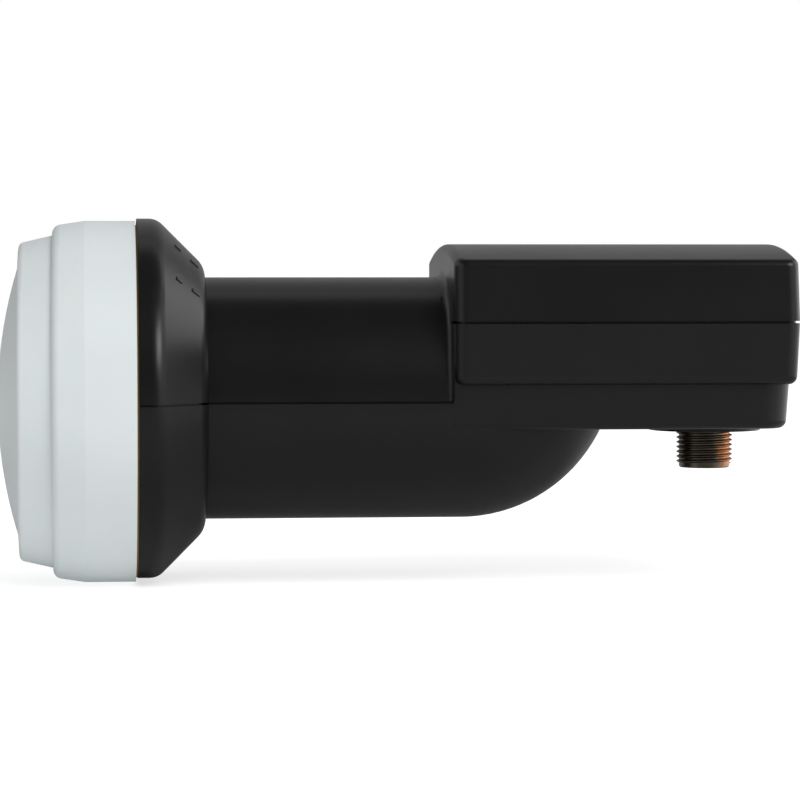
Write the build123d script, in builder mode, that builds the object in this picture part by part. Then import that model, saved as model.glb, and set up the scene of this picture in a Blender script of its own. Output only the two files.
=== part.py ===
from build123d import *
from math import sqrt, tan, radians
import os

# A satellite LNB: a feed horn and down-converter cast in one piece, closed by a
# weather cap in front and wrapped in two black moulded shells.
# X runs along the feed axis, from the cap at -X to the box at +X. Z is up.
# The origin is on the axis of the shells' neck, half way along it.

os.makedirs("parts", exist_ok=True)

# Neck of the shells, the round part that a dish clamp grips
neck_dia = 40.0
neck_length = 39.4
wall = 2.0

# Feed cap, and how far the flange behind it stands in from it
cap_dia = 59.6
flange_step = 0.1

# Flange: a straight rim, then a 45 degree cone down to a small shoulder on the neck
flange_rim = 3.3
flange_shoulder = 1.8
rim_round = 3.2
back_round = 4.0

# Box behind the neck; its top is crowned across the width
box_length = 56.5
box_width = 44.0
box_top = 25.5
box_seam = 12.8
box_bottom = 2.7
box_corner = 2.2
box_draft = 0.4
crown_drop = 2.8
top_round = 1.3
bottom_round = 1.4
neck_flare = 1.3

# Elbow at the end of the neck and belly under the box
elbow_setback = 3.2
elbow_radius = 26.0
belly_drop = 4.6
belly_inset = 0.3
belly_proud = 0.4
belly_draft = 8.0
belly_corner = 5.0
belly_round = 1.4

# Joint between the shells: an outer shadow groove and an inner tongue
seam_groove = 0.4
groove_depth = 0.7
tongue_height = 1.2
tongue_thickness = 0.9

# Ribs inside the shells: saddles round the waveguide tube, and ribs that hold the lid down
saddle_spacing = 18.0
saddle_width = 2.0
lid_rib_spacing = 22.0
lid_rib_width = 1.6
lid_rib_length = 24.0

# Clearances
fit = 0.05
slip = 0.15
loose = 0.3
seat_gap = 0.2

# The casting and its cap sit this far below the shells' axis
feed_drop = 0.5

# Casting: horn, waveguide, board tray and connector boss
guide_dia = 18.0
guide_wall = 2.0
horn_length = 20.0
horn_gap = 0.9
choke_band = 7.4
choke_depth = 7.4
choke_wall = 1.2
choke_rings = 3
horn_plate = 2.8
tray_wall = 1.5
tray_base = 1.7
tray_depth = 5.5
tray_room = 0.9
tray_corner = 2.0
boss_wall = 2.8
web_width = 2.0
web_depth = 5.0

# Cap: a drum, a smaller nose in front of it and a shallow dome
cap_wall = 1.5
cap_straight = 8.2
cap_drum = 13.5
cap_drum_taper = 0.8
cap_step = 2.4
cap_nose = 5.5
cap_nose_taper = 1.3
cap_dome_step = 4.6
cap_dome_rise = 3.55
cap_shoulder_round = 1.5
cap_nose_round = 1.0
cap_seal_section = 1.7
snap_height = 0.5
gasket_thickness = 0.3
gasket_width = 1.4
gasket_inset = 0.7

# Board, lid and the parts on the board
board_thickness = 0.8
cover_thickness = 1.2
cover_rib = 1.4
cover_split = 0.36
cover_seal_width = 0.7
cover_seal_depth = 0.6
screw_dia = 2.4
screw_head_dia = 4.4
screw_head = 1.6
screw_depth = 5.0
screw_boss_dia = 5.6
solder_stub = 0.4
probe_dia = 1.2
probe_sleeve_dia = 4.0
probe_depth = 4.5
probe_pitch = 5.8
probe_setback = 4.3
probe_bend = 1.3
probe_tip = 2.0
probe_offset = 6.3
reflector_dia = 1.6
transistor_size = (2.0, 1.3, 0.8)
chip_size = (4.0, 4.0, 0.9)
crystal_size = (5.0, 3.2, 1.1)
regulator_size = (4.5, 2.5, 1.5)
capacitor_size = (1.6, 0.8, 0.8)

# F connector, 3/8-32 thread on the barrel
connector_setback = 12.0
thread_dia = 9.4
thread_length = 6.3
thread_relief = 0.3
shank_dia = 9.0
barrel_bore = 6.4
barrel_grip = 8.0
connector_boss_dia = 18.6
connector_boss = 1.0
socket_dia = 1.2
socket_depth = 4.6
contact_dia = 2.2
contact_heel = 1.5
contact_pin_dia = 1.0
pin_passage_dia = 3.2
barrel_chamfer = 0.4
hole_room = 0.4
insulator_face = 1.0
mouth_recess = 0.2
connector_seal_section = 1.1

# Places worked out from the sizes above
neck_radius = neck_dia / 2
flange_radius = cap_dia / 2 - flange_step
cone_length = flange_radius - neck_radius - flange_shoulder
flange_back = -neck_length / 2
flange_front = flange_back - cone_length - flange_rim
box_front = neck_length / 2
box_rear = box_front + box_length
elbow_x = box_front + elbow_setback
elbow_hinge = elbow_radius - neck_radius
shell_floor = wall - belly_drop
reach = box_length + cap_dia
crown_radius = ((box_width / 2) ** 2 + crown_drop**2) / (2 * crown_drop)
belly_slope = tan(radians(belly_draft))
guide_radius = guide_dia / 2
tube_radius = guide_radius + guide_wall
tube_low = tube_radius + feed_drop
guide_end = elbow_x + sqrt((elbow_radius - wall) ** 2 - (elbow_hinge + tube_low) ** 2) - loose
guide_short = guide_end - guide_wall
cap_rear = flange_front - gasket_thickness
cap_shoulder = cap_rear - cap_drum
cap_inner_radius = cap_dia / 2 - cap_wall
cap_nose_radius = cap_dia / 2 - cap_step
cap_dome_radius = cap_nose_radius - cap_dome_step
horn_front = cap_shoulder + cap_wall + loose
horn_back = horn_front + choke_depth + horn_plate
horn_rim_radius = cap_inner_radius - horn_gap
horn_mouth_radius = horn_rim_radius - choke_band
tray_front = box_front + wall + tray_room
tray_rear = box_rear - box_draft - wall - tray_room
tray_middle = (tray_front + tray_rear) / 2
tray_length = tray_rear - tray_front
tray_width = box_width - 2 * (box_draft + wall + tray_room)
tray_floor = tube_radius - feed_drop
tray_top = tray_floor + tray_depth
screw_boss_radius = screw_boss_dia / 2
screw_span_x = tray_length - 2 * screw_boss_radius
screw_span_y = tray_width - 2 * screw_boss_radius
board_top = tray_floor + board_thickness
board_front = tray_front + tray_wall + loose
board_length = tray_length - 2 * (tray_wall + loose)
board_width = tray_width - 2 * (tray_wall + loose)
cover_top = tray_top + cover_thickness
split_x = board_front + cover_split * board_length
vertical_x = guide_short - probe_setback
horizontal_x = vertical_x - probe_pitch
reflector_x = (vertical_x + horizontal_x) / 2
connector_x = box_rear - connector_setback
thread_radius = thread_dia / 2
shank_radius = shank_dia / 2
boss_face = -belly_drop - connector_boss
thread_end = boss_face - thread_length
barrel_top = shell_floor + barrel_grip
insulator_end = thread_end + mouth_recess
contact_end = insulator_end + insulator_face
contact_heel_top = contact_end + socket_depth + contact_heel
pin_top = board_top + solder_stub
feed_axis = Axis((0, 0, -feed_drop), (1, 0, 0))
standing = (Align.CENTER, Align.CENTER, Align.MIN)
hanging = (Align.CENTER, Align.CENTER, Align.MAX)
feed_plane = Plane((0, 0, -feed_drop), x_dir=(1, 0, 0), z_dir=(0, -1, 0))


def neck_form(inset, end):
    """Flange and neck as far back as end, drawn in all round by inset."""
    cone_shift = inset * tan(radians(22.5))
    front = flange_front - inset
    rim_end = flange_front + flange_rim - cone_shift
    back = flange_back - inset
    back_radius = neck_radius + flange_shoulder - cone_shift
    radius = neck_radius - inset
    rim = flange_radius - inset
    with BuildPart() as form:
        with BuildSketch(Plane.XZ):
            with BuildLine():
                corners = [(front, 0), (front, rim), (rim_end, rim), (back, back_radius)]
                corners += [(back, radius), (end, radius), (end, 0)]
                FilletPolyline(corners, radius=[0, rim_round - inset, back_round - inset, 0, 0])
                Line((end, 0), (front, 0))
            make_face()
        revolve(axis=Axis.X)
    return form.part


def elbow_form(inset):
    """Elbow: the lower part of the neck's section swings up about a cross axis."""
    with BuildPart() as form:
        with BuildSketch(Plane.YZ.offset(elbow_x)):
            Circle(neck_radius - inset)
            with Locations((0, elbow_hinge)):
                Rectangle(neck_dia, neck_dia, align=(Align.CENTER, Align.MIN), mode=Mode.SUBTRACT)
        revolve(axis=Axis((elbow_x, 0, elbow_hinge), (0, 1, 0)), revolution_arc=-90)
    return form.part


def belly_form(inset):
    """Belly under the box, in line with the sides of the neck, drawn in by inset."""
    front = box_front + inset
    bottom = inset - belly_drop
    with BuildPart() as form:
        for height in (bottom, box_seam):
            with BuildSketch(Plane.XY.offset(height)) as section:
                slant = belly_slope * min(height, box_bottom)
                rear = box_rear - belly_inset - inset - belly_slope * box_bottom + slant
                width = neck_dia + 2 * (belly_proud - inset + slant)
                with Locations((front, 0)):
                    Rectangle(rear - front, width, align=(Align.MIN, Align.CENTER))
                fillet(section.vertices().group_by(Axis.X)[-1], belly_corner - inset)
        loft()
        if inset < belly_round:
            fillet(form.faces().sort_by(Axis.Z)[0].edges().sort_by(Axis.X)[1:], belly_round - inset)
    return form.part


def box_block(inset, level):
    """Plain block of one half of the box, from the seam to level, with its draft, drawn in by inset."""
    with BuildPart() as form:
        for height, draft in ((box_seam, 0), (level, box_draft)):
            with BuildSketch(Plane.XY.offset(height)):
                length = box_length - 2 * inset - draft
                with Locations((box_front + inset + length / 2, 0)):
                    width = box_width - 2 * (inset + draft)
                    RectangleRounded(length, width, max(box_corner - inset, fit))
        loft()
    return form.part


def lid_form(inset):
    """Upper half of the box with its crowned top, drawn in by inset."""
    block = box_block(inset, box_top)
    with BuildPart() as form:
        add(block)
        with Locations(Location((box_front, 0, box_top - crown_radius), (0, 90, 0))):
            Cylinder(crown_radius - inset, box_length, align=standing, mode=Mode.INTERSECT)
        if inset < top_round:
            fillet(form.faces().sort_by(Axis.Z)[-1].edges(), top_round - inset)
    return form.part


def tub_form(inset):
    """Lower half of the box, drawn in by inset."""
    block = box_block(inset, box_bottom + inset)
    with BuildPart() as form:
        add(block)
        if inset < bottom_round:
            fillet(form.faces().sort_by(Axis.Z)[0].edges(), bottom_round - inset)
    return form.part


def slab(front, rear, low, high):
    """Flat block across the whole width, between two places along X and two heights."""
    with BuildPart() as form:
        with Locations((front, 0, low)):
            Box(rear - front, reach, high - low, align=(Align.MIN, Align.CENTER, Align.MIN))
    return form.part


def seam_ring(outer_inset, inner_inset, height):
    """Ring along the seam, between two depths in the wall and up to height above the seam."""
    neck_outer = neck_form(outer_inset, box_front)
    neck_inner = neck_form(inner_inset, box_front)
    box_outer = box_block(outer_inset, box_top)
    box_inner = box_block(inner_inset, box_top)
    neck_slab = slab(flange_front, box_front, 0, height)
    box_slab = slab(box_front, box_rear, box_seam, box_seam + height)
    neck_way = neck_form(inner_inset, elbow_x)
    with BuildPart() as neck_ring:
        add(neck_outer)
        add(neck_inner, mode=Mode.SUBTRACT)
        add(neck_slab, mode=Mode.INTERSECT)
    with BuildPart() as box_ring:
        add(box_outer)
        add(box_inner, mode=Mode.SUBTRACT)
        add(box_slab, mode=Mode.INTERSECT)
        add(neck_way, mode=Mode.SUBTRACT)
    return neck_ring.part, box_ring.part


# Where the neck runs into the front of the box, its upper half flares out
with BuildPart() as flare:
    with BuildSketch(Plane.XZ):
        with BuildLine():
            flare_start = (box_front - neck_flare, neck_radius)
            flare_end = (box_front, neck_radius + neck_flare)
            flare_root = neck_radius - wall / 2
            bow = neck_flare * (1 - sqrt(0.5))
            ThreePointArc(flare_start, (box_front - bow, neck_radius + bow), flare_end)
            Polyline(flare_end, (box_front, flare_root), (flare_start[0], flare_root), flare_start)
        make_face()
    revolve(axis=Axis.X)
    split(bisect_by=Plane.XY, keep=Keep.TOP)

# Shadow groove along the seam, cut into both shells from outside
groove_half = seam_groove / 2
neck_core = neck_form(groove_depth, box_front + wall)
upper_core = box_block(groove_depth, box_top)
lower_core = box_block(groove_depth, box_bottom)
neck_groove_room = slab(flange_front - wall, box_front, -groove_half, groove_half)
box_groove_room = slab(box_front, box_rear + wall, box_seam - groove_half, box_seam + groove_half)
with BuildPart() as neck_groove:
    add(neck_groove_room)
    add(neck_core, mode=Mode.SUBTRACT)
with BuildPart() as box_groove:
    add(box_groove_room)
    add(upper_core, mode=Mode.SUBTRACT)
    add(lower_core, mode=Mode.SUBTRACT)

# Tongue of the lower shell, and the rebate that it fills in the upper shell
neck_tongue, box_tongue = seam_ring(wall - tongue_thickness, wall, tongue_height)
neck_rebate, box_rebate = seam_ring(wall - tongue_thickness - slip, wall, tongue_height + slip)


def saddle_form(bottom, top):
    """Ribs across the neck, between two heights, that hold the waveguide tube."""
    with BuildPart() as form:
        for x in (-saddle_spacing / 2, saddle_spacing / 2):
            with BuildSketch(Plane.YZ.offset(x)):
                Circle(neck_radius - wall / 2)
                with Locations((0, -feed_drop)):
                    Circle(tube_radius + slip, mode=Mode.SUBTRACT)
            extrude(amount=saddle_width / 2, both=True)
        with Locations((0, 0, bottom)):
            Box(reach, reach, top - bottom, align=standing, mode=Mode.INTERSECT)
    return form.part


upper_saddles = saddle_form(tongue_height + loose, neck_radius)
lower_saddles = saddle_form(-neck_radius, -loose)

neck_outside = neck_form(0, box_front)
neck_inside = neck_form(wall, elbow_x)
lid = lid_form(0)
lid_middle = lid_form(wall / 2)
lid_inside = lid_form(wall)

# Ribs under the lid, which hold the cover of the casting down
with BuildPart() as lid_ribs:
    with Locations((tray_middle, 0, cover_top + seat_gap)):
        with GridLocations(lid_rib_spacing, 1, 2, 1):
            Box(lid_rib_width, lid_rib_length, box_top - cover_top, align=standing)
    add(lid_middle, mode=Mode.INTERSECT)

# Upper shell: upper half of the flange and neck, and the lid of the box
with BuildPart() as upper_shell:
    add(neck_outside)
    split(bisect_by=Plane.XY, keep=Keep.TOP)
    add(flare.part)
    add(lid)
    add(neck_inside, mode=Mode.SUBTRACT)
    add(lid_inside, mode=Mode.SUBTRACT)
    add(neck_groove.part, mode=Mode.SUBTRACT)
    add(box_groove.part, mode=Mode.SUBTRACT)
    add(neck_rebate, mode=Mode.SUBTRACT)
    add(box_rebate, mode=Mode.SUBTRACT)
    add(upper_saddles)
    add(lid_ribs.part)
upper_shell.part.label = "upper_shell"
export_step(upper_shell.part, "parts/upper_shell.step")

neck_bottom = neck_form(0, elbow_x)
elbow = elbow_form(0)
elbow_inside = elbow_form(wall)
belly = belly_form(0)
belly_inside = belly_form(wall)
tub = tub_form(0)
tub_inside = tub_form(wall)

# Lower shell: lower half of the flange and neck, the elbow, the lower box and its belly
with BuildPart() as lower_shell:
    add(neck_bottom)
    split(bisect_by=Plane.XY, keep=Keep.BOTTOM)
    add(elbow)
    add(belly)
    add(tub)
    add(neck_inside, mode=Mode.SUBTRACT)
    add(elbow_inside, mode=Mode.SUBTRACT)
    add(belly_inside, mode=Mode.SUBTRACT)
    add(tub_inside, mode=Mode.SUBTRACT)
    add(neck_groove.part, mode=Mode.SUBTRACT)
    add(box_groove.part, mode=Mode.SUBTRACT)
    add(neck_tongue)
    add(box_tongue)
    add(lower_saddles)
    with Locations((connector_x, 0, boss_face)):
        Cylinder(connector_boss_dia / 2, connector_boss + wall / 2, align=standing)
    hole_radius = thread_radius + hole_room
    seal_room = shank_radius + connector_seal_section + 2 * fit
    with Locations((connector_x, 0, boss_face)):
        hole_length = shell_floor - boss_face
        Cylinder(hole_radius, hole_length, align=standing, mode=Mode.SUBTRACT)
    with Locations((connector_x, 0, shell_floor)):
        seal_depth = connector_seal_section + fit
        Cylinder(seal_room, seal_depth, align=hanging, mode=Mode.SUBTRACT)
lower_shell.part.label = "lower_shell"
export_step(lower_shell.part, "parts/lower_shell.step")


def cap_outline(inset):
    """Half section of the cap as one closed line, drawn in by inset and running out behind."""
    rear = cap_rear + inset
    drum = cap_dia / 2 - inset
    taper_start = cap_rear - cap_straight
    shoulder = cap_shoulder + inset
    nose = cap_shoulder - cap_nose + inset
    nose_radius = cap_nose_radius - inset
    dome_radius = cap_dome_radius - inset
    tip = nose - cap_dome_rise
    sphere_radius = (dome_radius**2 + cap_dome_rise**2) / (2 * cap_dome_rise)
    half_way = tip + sphere_radius - sqrt(sphere_radius**2 - (dome_radius / 2) ** 2)
    corners = [(rear, 0), (rear, drum), (taper_start, drum), (shoulder, drum - cap_drum_taper)]
    corners += [(shoulder, nose_radius), (nose, nose_radius - cap_nose_taper), (nose, dome_radius)]
    shoulder_round = max(cap_shoulder_round - inset, 0)
    nose_round = max(cap_nose_round - inset, 0)
    FilletPolyline(corners, radius=[0, 0, shoulder_round, 0, nose_round])
    ThreePointArc((nose, dome_radius), (half_way, dome_radius / 2), (tip, 0))
    Line((tip, 0), (rear, 0))


# Cap: thin pale drum with a stepped nose and a shallow dome, and a bead that snaps behind the horn
bead_front = horn_back + slip
bead_radius = horn_rim_radius - snap_height
with BuildPart() as feed_cap:
    with BuildSketch(feed_plane):
        with BuildLine():
            cap_outline(0)
        make_face()
        with BuildLine():
            cap_outline(cap_wall)
        make_face(mode=Mode.SUBTRACT)
        with Locations((bead_front, bead_radius)):
            bead_size = (cap_rear - bead_front, cap_inner_radius + cap_wall / 2 - bead_radius)
            Rectangle(*bead_size, align=(Align.MIN, Align.MIN))
    revolve(axis=feed_axis)
feed_cap.part.label = "feed_cap"
export_step(feed_cap.part, "parts/feed_cap.step")

# Ring of soft rubber under the cap, in a groove round the horn
seal_major = cap_inner_radius - fit - cap_seal_section / 2
seal_x = horn_back - horn_plate / 2
with BuildPart() as cap_seal:
    with BuildSketch(feed_plane):
        with Locations((seal_x, seal_major)):
            Circle(cap_seal_section / 2)
    revolve(axis=feed_axis)
cap_seal.part.label = "cap_seal"
export_step(cap_seal.part, "parts/cap_seal.step")

# Flat gasket between the rear edge of the cap and the flange
with BuildPart() as joint_gasket:
    with BuildSketch(feed_plane):
        with Locations((cap_rear, cap_dia / 2 - gasket_inset)):
            Rectangle(gasket_thickness, gasket_width, align=(Align.MIN, Align.MAX))
    revolve(axis=feed_axis)
joint_gasket.part.label = "joint_gasket"
export_step(joint_gasket.part, "parts/joint_gasket.step")

# Casting: feed horn with choke rings, round waveguide, board tray and connector boss in one
throat = horn_front + horn_length
horn_slope = (horn_mouth_radius - guide_radius) / horn_length
funnel_wall = guide_wall * sqrt(1 + horn_slope**2)
funnel_radius = horn_mouth_radius - (horn_back - horn_front) * horn_slope + funnel_wall
choke_gap = (horn_rim_radius - horn_mouth_radius - choke_rings * choke_wall) / (choke_rings - 1)
with BuildPart() as feed_casting:
    with BuildSketch(feed_plane):
        with BuildLine():
            outer = [(horn_front, horn_mouth_radius), (horn_front, horn_rim_radius)]
            outer += [(horn_back, horn_rim_radius), (horn_back, funnel_radius)]
            outer += [(throat, tube_radius), (guide_end, tube_radius)]
            inner = [(guide_end, 0), (guide_short, 0), (guide_short, guide_radius), (throat, guide_radius)]
            Polyline(*outer, *inner, close=True)
        make_face()
    revolve(axis=feed_axis)
    # Choke pockets between the rings of the mouth
    for ring in range(choke_rings - 1):
        pocket_inner = horn_mouth_radius + choke_wall + ring * (choke_wall + choke_gap)
        with BuildSketch(Plane((horn_front, 0, -feed_drop), x_dir=(0, 1, 0), z_dir=(1, 0, 0))):
            Circle(pocket_inner + choke_gap)
            Circle(pocket_inner, mode=Mode.SUBTRACT)
        extrude(amount=choke_depth, mode=Mode.SUBTRACT)
    # Groove for the cap's seal
    with BuildSketch(feed_plane):
        with Locations((seal_x, seal_major - cap_seal_section / 2 - fit)):
            Rectangle(cap_seal_section + 2 * fit, cap_seal_section, align=(Align.CENTER, Align.MIN))
    revolve(axis=feed_axis, mode=Mode.SUBTRACT)
    # Board tray, with a screw boss in each corner and half way along each side
    with BuildSketch(Plane.XY.offset(tray_floor - tray_base)):
        with Locations((tray_middle, 0)):
            RectangleRounded(tray_length, tray_width, tray_corner)
    extrude(amount=tray_base + tray_depth)
    with BuildSketch(Plane.XY.offset(tray_floor)):
        with Locations((tray_middle, 0)):
            Rectangle(tray_length - 2 * tray_wall, tray_width - 2 * tray_wall)
            with GridLocations(screw_span_x / 2, screw_span_y, 3, 2):
                Circle(screw_boss_radius, mode=Mode.SUBTRACT)
    extrude(amount=tray_depth, mode=Mode.SUBTRACT)
    with Locations((tray_middle, 0, tray_top)):
        with GridLocations(screw_span_x / 2, screw_span_y, 3, 2):
            Hole(screw_dia / 2 + fit, depth=screw_depth + loose)
    # Groove for the lid's seal in the top of the tray wall
    with BuildSketch(Plane.XY.offset(tray_top - cover_seal_depth)):
        with Locations((tray_middle, 0)):
            outer_inset = tray_wall - cover_seal_width - 2 * fit
            inner_inset = tray_wall + cover_seal_width + 2 * fit
            outer_size = (tray_length - outer_inset, tray_width - outer_inset)
            inner_size = (tray_length - inner_inset, tray_width - inner_inset)
            RectangleRounded(*outer_size, tray_corner - outer_inset / 2)
            RectangleRounded(*inner_size, tray_corner - inner_inset / 2, mode=Mode.SUBTRACT)
    extrude(amount=cover_seal_depth, mode=Mode.SUBTRACT)
    # Connector boss, tied to the waveguide by a web under the tray
    with Locations((connector_x, 0, shell_floor + seat_gap)):
        boss_height = tray_floor - tray_base / 2 - shell_floor - seat_gap
        Cylinder(thread_radius + boss_wall, boss_height, align=standing)
    with Locations((guide_end, 0, tray_floor - tray_base / 2)):
        web_size = (connector_x - guide_end - thread_radius - boss_wall / 2, web_width, web_depth)
        Box(*web_size, align=(Align.MIN, Align.CENTER, Align.MAX))
    with Locations((connector_x, 0, shell_floor)):
        bore_length = barrel_grip + fit
        bore_radius = shank_radius + fit
        Cylinder(bore_radius, bore_length, align=standing, mode=Mode.SUBTRACT)
    with Locations((connector_x, 0, shell_floor)):
        passage = tray_floor - shell_floor
        passage_radius = pin_passage_dia / 2
        Cylinder(passage_radius, passage, align=standing, mode=Mode.SUBTRACT)
    # Holes for the probes' sleeves and for the reflector pin
    with Locations((vertical_x, 0, tray_floor), (horizontal_x, probe_offset, tray_floor)):
        Hole(probe_sleeve_dia / 2 + fit, depth=tray_floor)
    with Locations(Location((reflector_x, 0, -feed_drop), (90, 0, 0))):
        Cylinder(reflector_dia / 2 + fit, 2 * tube_radius + wall, mode=Mode.SUBTRACT)
feed_casting.part.label = "feed_casting"
export_step(feed_casting.part, "parts/feed_casting.step")

# Board on the floor of the tray, cut out round the screw bosses
with BuildPart() as circuit_board:
    with BuildSketch(Plane.XY.offset(tray_floor)):
        with Locations((tray_middle, 0)):
            Rectangle(board_length, board_width)
            with GridLocations(screw_span_x / 2, screw_span_y, 3, 2):
                Circle(screw_boss_radius + loose, mode=Mode.SUBTRACT)
        with Locations((vertical_x, 0), (horizontal_x, probe_offset)):
            Circle(probe_dia / 2 + fit, mode=Mode.SUBTRACT)
        with Locations((connector_x, 0)):
            Circle(contact_pin_dia / 2 + fit, mode=Mode.SUBTRACT)
    extrude(amount=board_thickness)
circuit_board.part.label = "circuit_board"
export_step(circuit_board.part, "parts/circuit_board.step")

# Lid of the tray, with a rib that parts the two inputs and one that parts them from the rest
with BuildPart() as shield_cover:
    with BuildSketch(Plane.XY.offset(tray_top)):
        with Locations((tray_middle, 0)):
            RectangleRounded(tray_length, tray_width, tray_corner)
            with GridLocations(screw_span_x / 2, screw_span_y, 3, 2):
                Circle(screw_dia / 2 + slip, mode=Mode.SUBTRACT)
    extrude(amount=cover_thickness)
    with BuildSketch(Plane.XY.offset(board_top + seat_gap)):
        with Locations((split_x, 0)):
            Rectangle(cover_rib, board_width)
        with Locations((board_front, probe_offset / 2)):
            Rectangle(split_x - board_front, cover_rib, align=(Align.MIN, Align.CENTER))
    extrude(amount=tray_top + cover_thickness / 2 - board_top - seat_gap)
shield_cover.part.label = "shield_cover"
export_step(shield_cover.part, "parts/shield_cover.step")

# Rubber cord between tray and lid
with BuildPart() as cover_seal:
    with BuildSketch(Plane.XY.offset(tray_top - cover_seal_depth)):
        with Locations((tray_middle, 0)):
            cord_outer = tray_wall - cover_seal_width
            cord_inner = tray_wall + cover_seal_width
            cord_outer_size = (tray_length - cord_outer, tray_width - cord_outer)
            cord_inner_size = (tray_length - cord_inner, tray_width - cord_inner)
            RectangleRounded(*cord_outer_size, tray_corner - cord_outer / 2)
            RectangleRounded(*cord_inner_size, tray_corner - cord_inner / 2, mode=Mode.SUBTRACT)
    extrude(amount=cover_seal_depth)
cover_seal.part.label = "cover_seal"
export_step(cover_seal.part, "parts/cover_seal.step")

# Six screws of the lid
with BuildPart() as cover_screws:
    with Locations((tray_middle, 0, cover_top)):
        with GridLocations(screw_span_x / 2, screw_span_y, 3, 2):
            Cylinder(screw_head_dia / 2, screw_head, align=standing)
            shank = screw_depth + cover_thickness
            Cylinder(screw_dia / 2, shank, align=hanging)
cover_screws.part.label = "cover_screws"
export_step(cover_screws.part, "parts/cover_screws.step")

# Straight probe from the board into the top of the waveguide
guide_top = guide_radius - feed_drop
with BuildPart() as vertical_probe:
    with Locations((vertical_x, 0, guide_top - probe_depth)):
        probe_length = pin_top - guide_top + probe_depth
        Cylinder(probe_dia / 2, probe_length, align=standing)
vertical_probe.part.label = "vertical_probe"
export_step(vertical_probe.part, "parts/vertical_probe.step")

# Bent probe that comes down beside the axis and turns in across the waveguide
with BuildPart() as horizontal_probe:
    with BuildLine():
        probe_corner = (horizontal_x, probe_offset, -feed_drop)
        path = [(horizontal_x, probe_offset, pin_top), probe_corner, (horizontal_x, probe_tip, -feed_drop)]
        FilletPolyline(path, radius=probe_bend)
    with BuildSketch(Plane((horizontal_x, probe_offset, pin_top))):
        Circle(probe_dia / 2)
    sweep()
horizontal_probe.part.label = "horizontal_probe"
export_step(horizontal_probe.part, "parts/horizontal_probe.step")

# Insulating bushes round the probes, from the waveguide's wall up to the board
bent_low = sqrt(guide_radius**2 - (probe_offset - probe_sleeve_dia / 2) ** 2) - feed_drop
sleeves = [("vertical_probe_sleeve", vertical_x, 0, guide_top)]
sleeves.append(("horizontal_probe_sleeve", horizontal_x, probe_offset, bent_low))
for node, x, y, bottom in sleeves:
    with BuildPart() as sleeve:
        with BuildSketch(Plane.XY.offset(bottom)):
            with Locations((x, y)):
                Circle(probe_sleeve_dia / 2)
                Circle(probe_dia / 2 + fit, mode=Mode.SUBTRACT)
        extrude(amount=tray_floor - bottom)
    sleeve.part.label = node
    export_step(sleeve.part, f"parts/{node}.step")

# Rod across the waveguide between the probes
with BuildPart() as reflector_pin:
    with Locations(Location((reflector_x, 0, -feed_drop), (90, 0, 0))):
        Cylinder(reflector_dia / 2, 2 * tube_radius)
reflector_pin.part.label = "reflector_pin"
export_step(reflector_pin.part, "parts/reflector_pin.step")

# Parts on the board: node name, size, and places as shares of the board's length and width
board_parts = [
    ("input_transistors", transistor_size, [(0.14, 0.30), (0.27, -0.12)]),
    ("gain_transistor", transistor_size, [(0.44, 0.09)]),
    ("converter_chip", chip_size, [(0.62, 0.04)]),
    ("reference_crystal", crystal_size, [(0.62, -0.24)]),
    ("voltage_regulator", regulator_size, [(0.81, -0.27)]),
]
capacitor_places = [(0.205, 0.30), (0.205, -0.27), (0.44, 0.27), (0.44, -0.21)]
capacitor_places += [(0.52, 0.27), (0.725, 0.12), (0.725, -0.09), (0.81, 0.15)]
board_parts.append(("chip_capacitors", capacitor_size, capacitor_places))
for node, size, places in board_parts:
    with BuildPart() as board_part:
        for along, across in places:
            with Locations((board_front + along * board_length, across * board_width, board_top)):
                Box(*size, align=standing)
    board_part.part.label = node
    export_step(board_part.part, f"parts/{node}.step")

# Barrel of the F connector, screwed up into the casting's boss
with BuildPart() as connector_body:
    with BuildSketch(Plane.XY.offset(thread_end)):
        with Locations((connector_x, 0)):
            Circle(thread_radius)
    extrude(amount=thread_length - thread_relief)
    mouth_edge = connector_body.faces().sort_by(Axis.Z)[0].edges()
    chamfer(mouth_edge, barrel_chamfer)
    with Locations((connector_x, 0, thread_end)):
        barrel_length = barrel_top - thread_end
        Cylinder(shank_radius - barrel_chamfer, barrel_length, align=standing)
    with Locations((connector_x, 0, boss_face - thread_relief)):
        Cylinder(shank_radius, barrel_top - boss_face + thread_relief, align=standing)
    with Locations((connector_x, 0, thread_end)):
        Cylinder(barrel_bore / 2, barrel_length, align=standing, mode=Mode.SUBTRACT)
connector_body.part.label = "connector_body"
export_step(connector_body.part, "parts/connector_body.step")

# White plug in the barrel, with the hole that the cable's centre wire enters
with BuildPart() as connector_insulator:
    with Locations((connector_x, 0, insulator_end)):
        plug_length = barrel_top - insulator_end
        Cylinder(barrel_bore / 2 - fit, plug_length, align=standing)
        Cylinder(socket_dia / 2, plug_length, align=standing, mode=Mode.SUBTRACT)
    with Locations((connector_x, 0, contact_end)):
        pocket = contact_heel_top - contact_end + fit
        pocket_radius = contact_dia / 2 + fit
        Cylinder(pocket_radius, pocket, align=standing, mode=Mode.SUBTRACT)
connector_insulator.part.label = "connector_insulator"
export_step(connector_insulator.part, "parts/connector_insulator.step")

# Centre contact: a socket for the wire, and a pin up through the board
with BuildPart() as connector_contact:
    with Locations((connector_x, 0, contact_end)):
        contact_length = contact_heel_top - contact_end
        Cylinder(contact_dia / 2, contact_length, align=standing)
        pin_length = pin_top - contact_end
        Cylinder(contact_pin_dia / 2, pin_length, align=standing)
        Cylinder(socket_dia / 2, socket_depth, align=standing, mode=Mode.SUBTRACT)
connector_contact.part.label = "connector_contact"
export_step(connector_contact.part, "parts/connector_contact.step")

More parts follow.
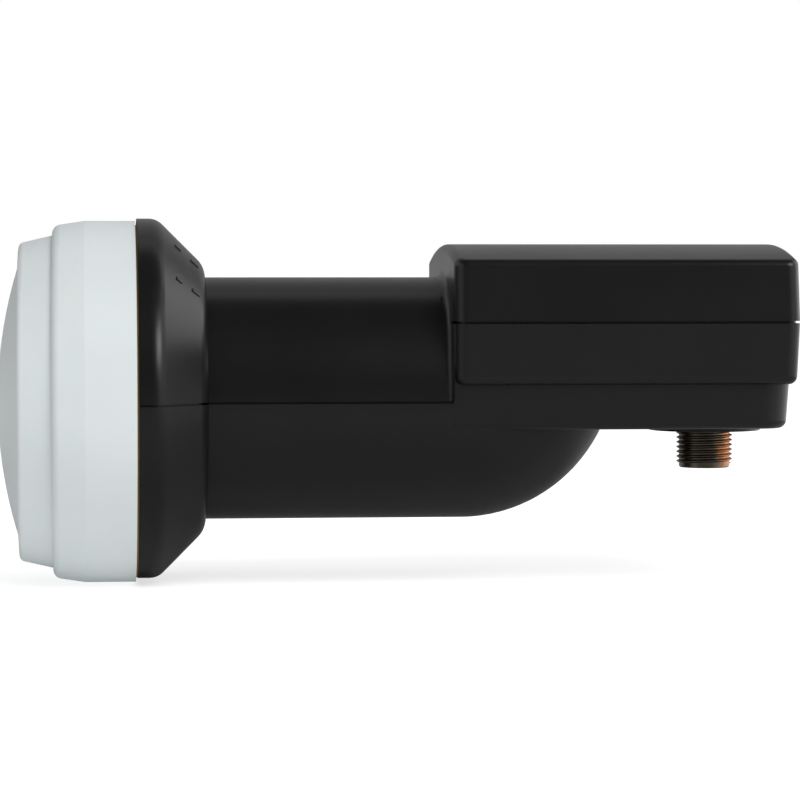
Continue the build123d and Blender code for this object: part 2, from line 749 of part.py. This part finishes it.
# Rubber ring round the barrel, in its recess in the lower shell
with BuildPart() as connector_seal:
    with BuildSketch(Plane.XZ):
        with Locations((connector_x + shank_radius + fit + connector_seal_section / 2, shell_floor)):
            with Locations((0, -connector_seal_section / 2)):
                Circle(connector_seal_section / 2)
    revolve(axis=Axis((connector_x, 0, 0), (0, 0, 1)))
connector_seal.part.label = "connector_seal"
export_step(connector_seal.part, "parts/connector_seal.step")
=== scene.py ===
from math import cos, pi, radians, sin

import bpy
from mathutils import Matrix, Vector


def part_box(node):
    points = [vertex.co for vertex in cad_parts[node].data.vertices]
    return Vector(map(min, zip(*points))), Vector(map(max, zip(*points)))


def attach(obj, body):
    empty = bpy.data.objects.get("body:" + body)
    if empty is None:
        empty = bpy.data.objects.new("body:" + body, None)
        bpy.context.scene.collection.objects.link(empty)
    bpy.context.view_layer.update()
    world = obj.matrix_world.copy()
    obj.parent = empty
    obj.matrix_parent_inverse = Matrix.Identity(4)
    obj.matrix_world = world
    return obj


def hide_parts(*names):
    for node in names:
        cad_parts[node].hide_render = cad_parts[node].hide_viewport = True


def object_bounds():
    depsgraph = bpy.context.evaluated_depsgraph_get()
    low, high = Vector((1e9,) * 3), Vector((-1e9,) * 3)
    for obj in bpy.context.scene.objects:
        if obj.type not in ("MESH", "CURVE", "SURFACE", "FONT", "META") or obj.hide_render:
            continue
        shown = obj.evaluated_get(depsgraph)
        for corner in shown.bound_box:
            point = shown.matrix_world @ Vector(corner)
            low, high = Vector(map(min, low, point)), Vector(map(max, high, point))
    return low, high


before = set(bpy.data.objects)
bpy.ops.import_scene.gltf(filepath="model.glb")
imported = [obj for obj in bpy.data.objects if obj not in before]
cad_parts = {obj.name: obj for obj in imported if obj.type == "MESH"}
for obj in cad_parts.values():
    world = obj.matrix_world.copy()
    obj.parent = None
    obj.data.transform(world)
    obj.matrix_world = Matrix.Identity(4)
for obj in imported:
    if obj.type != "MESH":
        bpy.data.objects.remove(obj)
cad_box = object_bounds()

# Housing shells: two black ABS mouldings that meet at a shadow groove along the neck and box.
# The tool that moulds them is spark-eroded to a fine even grain, so the plastic is satin:
# light edges where it turns to the sky, deep black where it faces the dark room.
MM = 0.001


def hex_colour(code):
    """Linear colour with alpha for an sRGB hex value."""
    channels = [int(code[i : i + 2], 16) / 255 for i in (1, 3, 5)]
    return [c / 12.92 if c <= 0.04045 else ((c + 0.055) / 1.055) ** 2.4 for c in channels] + [1]


def add_node(tree, kind, values=None, links=None, **settings):
    """Adds a node with its settings, its sockets' values and the links into it."""
    node = tree.nodes.new(kind)
    for name, value in settings.items():
        setattr(node, name, value)
    for socket, value in (values or {}).items():
        node.inputs[socket].default_value = value
    for socket, source in (links or {}).items():
        tree.links.new(source, node.inputs[socket])
    return node


def grained_material(name, colours, tone_size, roughness, grain_size, grain_height, surface):
    """A finish with two close tones, a patchy gloss and a fine grain, all at sizes in millimetres."""
    tone_range = (0.2, 0.8)
    grain_strength = 0.5
    material = bpy.data.materials.new(name)
    material.use_nodes = True
    tree = material.node_tree
    shader = tree.nodes["Principled BSDF"]
    place = add_node(tree, "ShaderNodeTexCoord").outputs["Object"]
    tones = add_node(
        tree,
        "ShaderNodeTexNoise",
        {"Scale": 1 / (tone_size * MM), "Detail": 4.0, "Roughness": 0.6},
        {"Vector": place},
    )
    ramp = add_node(tree, "ShaderNodeValToRGB", links={"Fac": tones.outputs["Fac"]})
    for stop, position, colour in zip(ramp.color_ramp.elements, tone_range, colours):
        stop.position = position
        stop.color = hex_colour(colour)
    gloss = add_node(
        tree,
        "ShaderNodeMapRange",
        {
            "From Min": tone_range[0],
            "From Max": tone_range[1],
            "To Min": roughness[0],
            "To Max": roughness[1],
        },
        {"Value": tones.outputs["Fac"]},
    )
    grain = add_node(
        tree,
        "ShaderNodeTexNoise",
        {"Scale": 1 / (grain_size * MM), "Detail": 2.0},
        {"Vector": place},
    )
    bump = add_node(
        tree,
        "ShaderNodeBump",
        {"Strength": grain_strength, "Distance": grain_height * MM},
        {"Height": grain.outputs["Fac"]},
    )
    tree.links.new(ramp.outputs["Color"], shader.inputs["Base Color"])
    tree.links.new(gloss.outputs["Result"], shader.inputs["Roughness"])
    tree.links.new(bump.outputs["Normal"], shader.inputs["Normal"])
    for socket, value in surface.items():
        shader.inputs[socket].default_value = value
    return material


def dress(names, material):
    """Gives the CAD nodes of these names one material."""
    for name in names:
        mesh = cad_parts[name].data
        mesh.materials.clear()
        mesh.materials.append(material)


black_abs = grained_material(
    "black moulded ABS",
    colours=("#141415", "#181819"),
    tone_size=18,
    roughness=(0.27, 0.33),
    grain_size=0.25,
    grain_height=0.008,
    surface={"IOR": 1.52, "Specular IOR Level": 0.26},
)
dress(["upper_shell", "lower_shell"], black_abs)

# Skew marks: short raised bars on the flange's cone, moulded with the upper shell.
# By them the part is turned to its angle in the clamp. Each is a bar with rounded edges, laid on
# the cone and sunk half into it.
flange_low, flange_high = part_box("upper_shell")
flange_radius = flange_high.z
flange_rim = 3.3 * MM
cone_start = flange_low.x + flange_rim
cone_slope = radians(45)
mark_angles = (-42, -20, 20, 42)
# Way along the cone and length of the two bars at each angle
mark_rows = ((3.3 * MM, 1.4 * MM), (6.0 * MM, 1.8 * MM))
mark_width = 0.7 * MM
mark_height = 0.32 * MM
mark_round = 0.12 * MM
round_segments = 3
mark_crease = radians(40)

marks = []
for angle in mark_angles:
    for along, length in mark_rows:
        bpy.ops.object.select_all(action="DESELECT")
        bpy.ops.mesh.primitive_cube_add(size=1)
        mark = bpy.context.object
        round_axis = Matrix.Rotation(radians(angle), 4, "X")
        on_cone = Matrix.Translation((cone_start + along, 0, flange_radius - along))
        lean = Matrix.Rotation(cone_slope, 4, "Y")
        bar_size = Matrix.Diagonal((length, mark_width, mark_height, 1))
        mark.matrix_world = round_axis @ on_cone @ lean @ bar_size
        bpy.ops.object.transform_apply(location=True, rotation=True, scale=True)
        bpy.ops.object.mode_set(mode="EDIT")
        bpy.ops.mesh.select_all(action="SELECT")
        bpy.ops.mesh.bevel(offset=mark_round, segments=round_segments, affect="EDGES")
        bpy.ops.object.mode_set(mode="OBJECT")
        marks.append(mark)
bpy.ops.object.select_all(action="DESELECT")
for mark in marks:
    mark.select_set(True)
skew_marks = marks[0]
bpy.context.view_layer.objects.active = skew_marks
bpy.ops.object.join()
skew_marks.name = "skew_marks"
bpy.ops.object.shade_smooth_by_angle(angle=mark_crease)
skew_marks.data.materials.append(black_abs)
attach(skew_marks, "root")

# Feed cap: a thin drum moulded in pale grey polypropylene, which lets microwaves through.
# It is smooth and slightly cloudy, with a soft sheen.
pale_polypropylene = grained_material(
    "pale moulded polypropylene",
    colours=("#d9e0e1", "#dfe6e7"),
    tone_size=25,
    roughness=(0.38, 0.46),
    grain_size=0.4,
    grain_height=0.01,
    surface={"IOR": 1.49, "Subsurface Weight": 0.1, "Subsurface Scale": 1.5 * MM},
)
dress(["feed_cap"], pale_polypropylene)

# Gasket between cap and flange: a flat ring of amber silicone, of which only the edge shows.
# It is stamped from sheet and left matt.
amber_silicone = grained_material(
    "amber silicone",
    colours=("#8d7233", "#9a7f40"),
    tone_size=6,
    roughness=(0.5, 0.6),
    grain_size=0.2,
    grain_height=0.01,
    surface={"IOR": 1.41},
)
dress(["joint_gasket"], amber_silicone)

# Seals: black rubber rings under the cap and round the connector, and the cord under the lid.
# They are moulded and left matt.
black_rubber = grained_material(
    "black moulded rubber",
    colours=("#1b1b1b", "#242424"),
    tone_size=3,
    roughness=(0.7, 0.8),
    grain_size=0.15,
    grain_height=0.02,
    surface={"IOR": 1.52},
)
dress(["cap_seal", "cover_seal", "connector_seal"], black_rubber)

# Feed casting and its lid: aluminium, die-cast in one piece and left as it comes from the die,
# with a dull grey skin and faint flow marks.
cast_aluminium = grained_material(
    "die-cast aluminium",
    colours=("#a4a5a6", "#b7b8b9"),
    tone_size=9,
    roughness=(0.42, 0.56),
    grain_size=0.3,
    grain_height=0.03,
    surface={"Metallic": 1.0},
)
dress(["feed_casting", "shield_cover"], cast_aluminium)

# Circuit board: glass-filled laminate under a green solder mask.
# It is milled to shape from flat sheet and is plain, without tracks.
green_laminate = grained_material(
    "green solder mask",
    colours=("#1d5a34", "#256b40"),
    tone_size=2.5,
    roughness=(0.3, 0.4),
    grain_size=0.3,
    grain_height=0.01,
    surface={"IOR": 1.55},
)
dress(["circuit_board"], green_laminate)

# Parts on the board: black moulded packages, a drawn steel crystal can and fired ceramic chips.
# They are bought-in parts, each with the finish of its own making.
black_epoxy = grained_material(
    "black moulded epoxy",
    colours=("#1c1c1d", "#252526"),
    tone_size=1.5,
    roughness=(0.5, 0.6),
    grain_size=0.1,
    grain_height=0.01,
    surface={"IOR": 1.55},
)
dress(["input_transistors", "gain_transistor", "converter_chip", "voltage_regulator"], black_epoxy)
drawn_can = grained_material(
    "drawn steel can",
    colours=("#bcbab4", "#cac8c2"),
    tone_size=2,
    roughness=(0.25, 0.35),
    grain_size=0.2,
    grain_height=0.005,
    surface={"Metallic": 1.0},
)
dress(["reference_crystal"], drawn_can)
fired_ceramic = grained_material(
    "fired ceramic",
    colours=("#a08058", "#b29068"),
    tone_size=1,
    roughness=(0.5, 0.6),
    grain_size=0.1,
    grain_height=0.005,
    surface={"IOR": 1.6},
)
dress(["chip_capacitors"], fired_ceramic)

# Screws of the lid and the rod across the waveguide: zinc-plated steel.
# They come bright from the bath, with a blue-grey cast.
zinc_steel = grained_material(
    "zinc-plated steel",
    colours=("#b4b8bd", "#c6cacf"),
    tone_size=2,
    roughness=(0.28, 0.4),
    grain_size=0.2,
    grain_height=0.01,
    surface={"Metallic": 1.0},
)
dress(["cover_screws", "reflector_pin"], zinc_steel)

# Probes and centre contact: turned brass pins, in bushes and a plug of white PTFE.
# The brass is left bare and bright, and the PTFE is cut from rod.
turned_brass = grained_material(
    "turned brass",
    colours=("#b9924c", "#c8a35c"),
    tone_size=1.5,
    roughness=(0.22, 0.34),
    grain_size=0.1,
    grain_height=0.005,
    surface={"Metallic": 1.0},
)
dress(["vertical_probe", "horizontal_probe", "connector_contact"], turned_brass)
white_ptfe = grained_material(
    "white PTFE",
    colours=("#e4e4e0", "#ecece8"),
    tone_size=3,
    roughness=(0.45, 0.55),
    grain_size=0.2,
    grain_height=0.01,
    surface={"IOR": 1.38},
)
dress(["vertical_probe_sleeve", "horizontal_probe_sleeve", "connector_insulator"], white_ptfe)

# Barrel of the F connector: brass, turned, threaded 32 to the inch and nickel-plated.
# The plating has dulled to a dark grey, and a copper colour on its right, camera-facing side is a painted
# warm reflection.
# A cylinder gets its chamfered mouth and its bore, and one narrow ridge is wound up it.
barrel_low, barrel_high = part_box("connector_body")
plug_low, plug_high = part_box("connector_insulator")
barrel_x = (barrel_low.x + barrel_high.x) / 2
barrel_radius = (barrel_high.x - barrel_low.x) / 2
barrel_length = barrel_high.z - barrel_low.z
bore_radius = (plug_high.x - plug_low.x) / 2
bore_depth = plug_high.z - barrel_low.z
barrel_sides = 96
mouth_chamfer = 0.2 * MM
thread_pitch = 25.4 / 32 * MM
thread_turns = 7
thread_steps = 48
thread_start = 0.65 * MM
thread_depth = 0.46 * MM
ridge_depth = 1.3 * thread_depth
foot_width = 0.96 * thread_pitch
crest_width = 0.096 * MM
root_radius = barrel_radius - thread_depth
run_out_radius = 0.95 * root_radius
barrel_crease = radians(25)
tiny = 0.01 * MM


def choose(obj, kind, test):
    """Selects in edit mode the vertices, edges or faces whose every place passes the test."""
    bpy.ops.mesh.select_mode(type=kind)
    bpy.ops.mesh.select_all(action="DESELECT")
    bpy.ops.object.mode_set(mode="OBJECT")
    corners = obj.data.vertices
    if kind == "VERT":
        for corner in corners:
            corner.select = test(corner.co)
    else:
        items = {"EDGE": obj.data.edges, "FACE": obj.data.polygons}[kind]
        for item in items:
            item.select = all(test(corners[index].co) for index in item.vertices)
    bpy.ops.object.mode_set(mode="EDIT")


bpy.ops.object.select_all(action="DESELECT")
bpy.ops.mesh.primitive_cylinder_add(vertices=barrel_sides, radius=root_radius, depth=barrel_length)
barrel = bpy.context.object
barrel.name = "connector_barrel"
bpy.ops.object.mode_set(mode="EDIT")
bpy.ops.mesh.select_all(action="SELECT")
bpy.ops.transform.translate(value=(0, 0, barrel_length / 2))
choose(barrel, "EDGE", lambda place: place.z < tiny)
bpy.ops.mesh.bevel(offset=mouth_chamfer, segments=1, affect="EDGES")
choose(barrel, "FACE", lambda place: place.z < tiny)
bpy.ops.mesh.inset(thickness=root_radius - mouth_chamfer - bore_radius)
bpy.ops.mesh.extrude_region_move(TRANSFORM_OT_translate={"value": (0, 0, bore_depth)})
bpy.ops.object.mode_set(mode="OBJECT")

bpy.ops.object.select_all(action="DESELECT")
bpy.ops.mesh.primitive_plane_add(size=1, rotation=(pi / 2, 0, 0))
ridge = bpy.context.object
bpy.ops.object.transform_apply(rotation=True)
bpy.ops.object.mode_set(mode="EDIT")
bpy.ops.mesh.select_all(action="SELECT")
bpy.ops.transform.resize(value=(ridge_depth, 1, foot_width))
bpy.ops.transform.translate(value=(barrel_radius - ridge_depth / 2, 0, 0))
choose(ridge, "VERT", lambda place: place.x > barrel_radius - tiny)
bpy.ops.transform.resize(value=(1, 1, crest_width / foot_width), center_override=(barrel_radius, 0, 0))
bpy.ops.object.mode_set(mode="OBJECT")
winding = ridge.modifiers.new("winding", "SCREW")
winding.axis = "Z"
winding.steps = thread_steps
winding.render_steps = thread_steps
winding.iterations = thread_turns
winding.screw_offset = thread_pitch
bpy.ops.object.modifier_apply(modifier="winding")
bpy.ops.object.mode_set(mode="EDIT")
bpy.ops.mesh.select_all(action="SELECT")
bpy.ops.mesh.normals_make_consistent(inside=False)
# Both ends of the ridge run out into the barrel
first_turn = thread_pitch / 2
last_turn = thread_turns * thread_pitch - first_turn
choose(
    ridge,
    "VERT",
    lambda place: place.x > 0 and abs(place.y) < tiny and not first_turn < place.z < last_turn,
)
run_out = run_out_radius / barrel_radius
bpy.ops.transform.resize(value=(run_out, run_out, 1), center_override=(0, 0, 0))
bpy.ops.mesh.select_all(action="SELECT")
bpy.ops.transform.translate(value=(0, 0, thread_start))
bpy.ops.object.mode_set(mode="OBJECT")

bpy.ops.object.select_all(action="DESELECT")
ridge.select_set(True)
barrel.select_set(True)
bpy.context.view_layer.objects.active = barrel
bpy.ops.object.join()
bpy.ops.object.mode_set(mode="EDIT")
bpy.ops.mesh.select_all(action="SELECT")
bpy.ops.transform.translate(value=(barrel_x, 0, barrel_low.z))
bpy.ops.object.mode_set(mode="OBJECT")
bpy.ops.object.shade_smooth_by_angle(angle=barrel_crease)
dull_nickel = grained_material(
    "dulled nickel plate",
    colours=("#514b43", "#776e62"),
    tone_size=3,
    roughness=(0.24, 0.38),
    grain_size=0.15,
    grain_height=0.005,
    surface={"Metallic": 1.0},
)
# Where the painted warm reflection lies on the right, camera-facing side, in radii of the barrel, and the
# size of the patches at its edge
reflection_from = 0.7
reflection_to = 1.2
reflection_turn = 0.3
reflection_patch_size = 1.5 * MM
plate = dull_nickel.node_tree
plate_colour = plate.nodes["Principled BSDF"].inputs["Base Color"]
plate_place = add_node(plate, "ShaderNodeTexCoord").outputs["Object"]
reflection_edge_noise = add_node(plate, "ShaderNodeTexNoise", {"Scale": 1 / reflection_patch_size}, {"Vector": plate_place})
across = add_node(plate, "ShaderNodeSeparateXYZ", links={0: plate_place})
ragged = add_node(
    plate,
    "ShaderNodeMath",
    {1: barrel_radius},
    {0: reflection_edge_noise.outputs["Fac"], 2: across.outputs["X"]},
    operation="MULTIPLY_ADD",
)
reflection_right = add_node(
    plate,
    "ShaderNodeMapRange",
    {
        "From Min": barrel_x + reflection_from * barrel_radius,
        "From Max": barrel_x + reflection_to * barrel_radius,
    },
    {"Value": ragged.outputs[0]},
)
reflection_front = add_node(
    plate,
    "ShaderNodeMapRange",
    {"From Min": reflection_turn * barrel_radius, "From Max": -reflection_turn * barrel_radius},
    {"Value": across.outputs["Y"]},
)
painted_reflection_part = add_node(
    plate,
    "ShaderNodeMath",
    links={0: reflection_right.outputs["Result"], 1: reflection_front.outputs["Result"]},
    operation="MULTIPLY",
)
# The copper colour mixed in here is a painted warm reflection on the camera-facing right side of the
# barrel.
plate_with_reflection = add_node(
    plate,
    "ShaderNodeMix",
    {7: hex_colour("#b27d54")},
    {0: painted_reflection_part.outputs[0], 6: plate_colour.links[0].from_socket},
    data_type="RGBA",
)
plate.links.new(plate_with_reflection.outputs[2], plate_colour)
barrel.data.materials.append(dull_nickel)
dress(["connector_body"], dull_nickel)
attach(barrel, "root")
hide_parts("connector_body")

# Stage: a pale paper floor under the part, which fades into a white room.
# The paper takes the part's shadow. It gives off a little light, as a bright studio's floor does,
# and is lifted to white where the eye or a mirror sees it.
floor_level = cad_box[0].z
floor_size = 40
paper_glow = 0.3
paper_lift = 0.36
room_strength = 0.5
white_strength = 1.0
white = (1, 1, 1, 1)
bpy.ops.object.select_all(action="DESELECT")
bpy.ops.mesh.primitive_plane_add(size=floor_size, location=(0, 0, floor_level))
floor = bpy.context.object
floor.name = "floor"
white_paper = bpy.data.materials.new("white paper floor")
white_paper.use_nodes = True
paper = white_paper.node_tree
paper_shader = paper.nodes["Principled BSDF"]
paper_shader.inputs["Base Color"].default_value = hex_colour("#e0e0e0")
paper_shader.inputs["Roughness"].default_value = 1.0
paper_shader.inputs["Specular IOR Level"].default_value = 0.0


def seen_directly(tree):
    """One for rays from the eye, from a mirror or through glass, and zero for light that is scattered."""
    path = add_node(tree, "ShaderNodeLightPath").outputs
    glass = {0: path["Is Glossy Ray"], 1: path["Is Transmission Ray"]}
    mirrored = add_node(tree, "ShaderNodeMath", links=glass, operation="MAXIMUM").outputs[0]
    eye = {0: path["Is Camera Ray"], 1: mirrored}
    return add_node(tree, "ShaderNodeMath", links=eye, operation="MAXIMUM").outputs[0]


paper_light = add_node(
    paper,
    "ShaderNodeMath",
    {1: paper_lift, 2: paper_glow},
    {0: seen_directly(paper)},
    operation="MULTIPLY_ADD",
)
paper_shader.inputs["Emission Color"].default_value = white
paper.links.new(paper_light.outputs[0], paper_shader.inputs["Emission Strength"])
floor.data.materials.append(white_paper)

scene = bpy.context.scene
scene.view_settings.view_transform = "Standard"
world = bpy.data.worlds.new("white room")
scene.world = world
world.use_nodes = True
room = world.node_tree
room_light = room.nodes["Background"]
room_light.inputs["Color"].default_value = white
room_light.inputs["Strength"].default_value = room_strength
room_white = add_node(room, "ShaderNodeBackground", {"Color": white, "Strength": white_strength})
room_mix = add_node(
    room,
    "ShaderNodeMixShader",
    links={0: seen_directly(room), 1: room_light.outputs[0], 2: room_white.outputs[0]},
)
room.links.new(room_mix.outputs[0], room.nodes["World Output"].inputs["Surface"])

# Camera: level with the part and a little to the cap's side of it, far enough back to flatten it.
view_distance = 555 * MM
view_yaw = radians(5.3)
view_pitch = radians(2.4)
view_width = 133.33 * MM
sensor_width = 36
near_limit = 10 * MM
view_centre = Vector((12.84, 0, -0.45)) * MM
back = Vector((-sin(view_yaw) * cos(view_pitch), -cos(view_yaw) * cos(view_pitch), sin(view_pitch)))
bpy.ops.object.camera_add(location=view_centre + back * view_distance)
camera = bpy.context.object
camera.rotation_mode = "QUATERNION"
camera.rotation_quaternion = (-back).to_track_quat("-Z", "Y")
camera.data.sensor_width = sensor_width
camera.data.lens = sensor_width * view_distance / view_width
camera.data.clip_start = near_limit
scene.camera = camera

# Lamps: a large soft box high in front of the part, and two at its right that draw the bright
# edges of the flange and box. Gloss doesn't show the high one, and only gloss shows the one at the
# front right. Places and sizes are in metres, and power is in watts.
for lamp_name, place, size, power in (
    ("high_box", (0.25, -0.55, 0.65), (0.6, 0.6), 4.6),
    ("right_box", (0.60, -0.54, 0.50), (0.45, 0.3), 3.9),
    ("right_rear_box", (0.85, 0.30, 0.27), (0.6, 0.6), 1.8),
):
    bpy.ops.object.light_add(type="AREA", location=place)
    lamp = bpy.context.object
    lamp.name = lamp_name
    lamp.data.shape = "RECTANGLE"
    lamp.data.size, lamp.data.size_y = size
    lamp.data.energy = power
    lamp.rotation_mode = "QUATERNION"
    lamp.rotation_quaternion = (view_centre - lamp.location).to_track_quat("-Z", "Y")
    lamp.visible_camera = False
    lamp.visible_glossy = lamp_name != "high_box"
    lamp.visible_diffuse = lamp_name != "right_box"

# Cards: felt sheets round the part. The black ones before and above it keep the plastic deep and the
# grey ones below and behind it soften the light of floor and room, for gloss alone. The flag at the
# left only takes light away, so that the dome of the cap is in a soft shade. Sizes are in metres.
for card_name, place, turn, width, shade in (
    ("front_card", (0.0, -1.2, 0.75), (pi / 2, 0, 0), 2.0, "#202020"),
    ("top_card", (0.0, -0.55, 1.1), (0, 0, 0), 2.0, "#202020"),
    ("floor_card", (-0.56, -0.84, floor_level + 0.2 * MM), (0, 0, radians(16.7)), 2.0, "#c0c0c0"),
    ("back_card", (0.0, 1.2, 0.9), (pi / 2, 0, 0), 2.4, "#c4c4c4"),
    ("left_flag", (-0.5, 0.0, 0.3), (0, pi / 2, 0), 0.66, "#202020"),
):
    bpy.ops.object.select_all(action="DESELECT")
    bpy.ops.mesh.primitive_plane_add(size=width, location=place, rotation=turn)
    card = bpy.context.object
    card.name = card_name
    card.visible_camera = False
    card.visible_shadow = False
    card.visible_diffuse = card_name == "left_flag"
    card.visible_glossy = card_name != "left_flag"
    felt = bpy.data.materials.new(card_name + " felt")
    felt.use_nodes = True
    felt_shader = felt.node_tree.nodes["Principled BSDF"]
    felt_shader.inputs["Base Color"].default_value = hex_colour(shade)
    felt_shader.inputs["Roughness"].default_value = 1.0
    felt_shader.inputs["Specular IOR Level"].default_value = 0.0
    card.data.materials.append(felt)
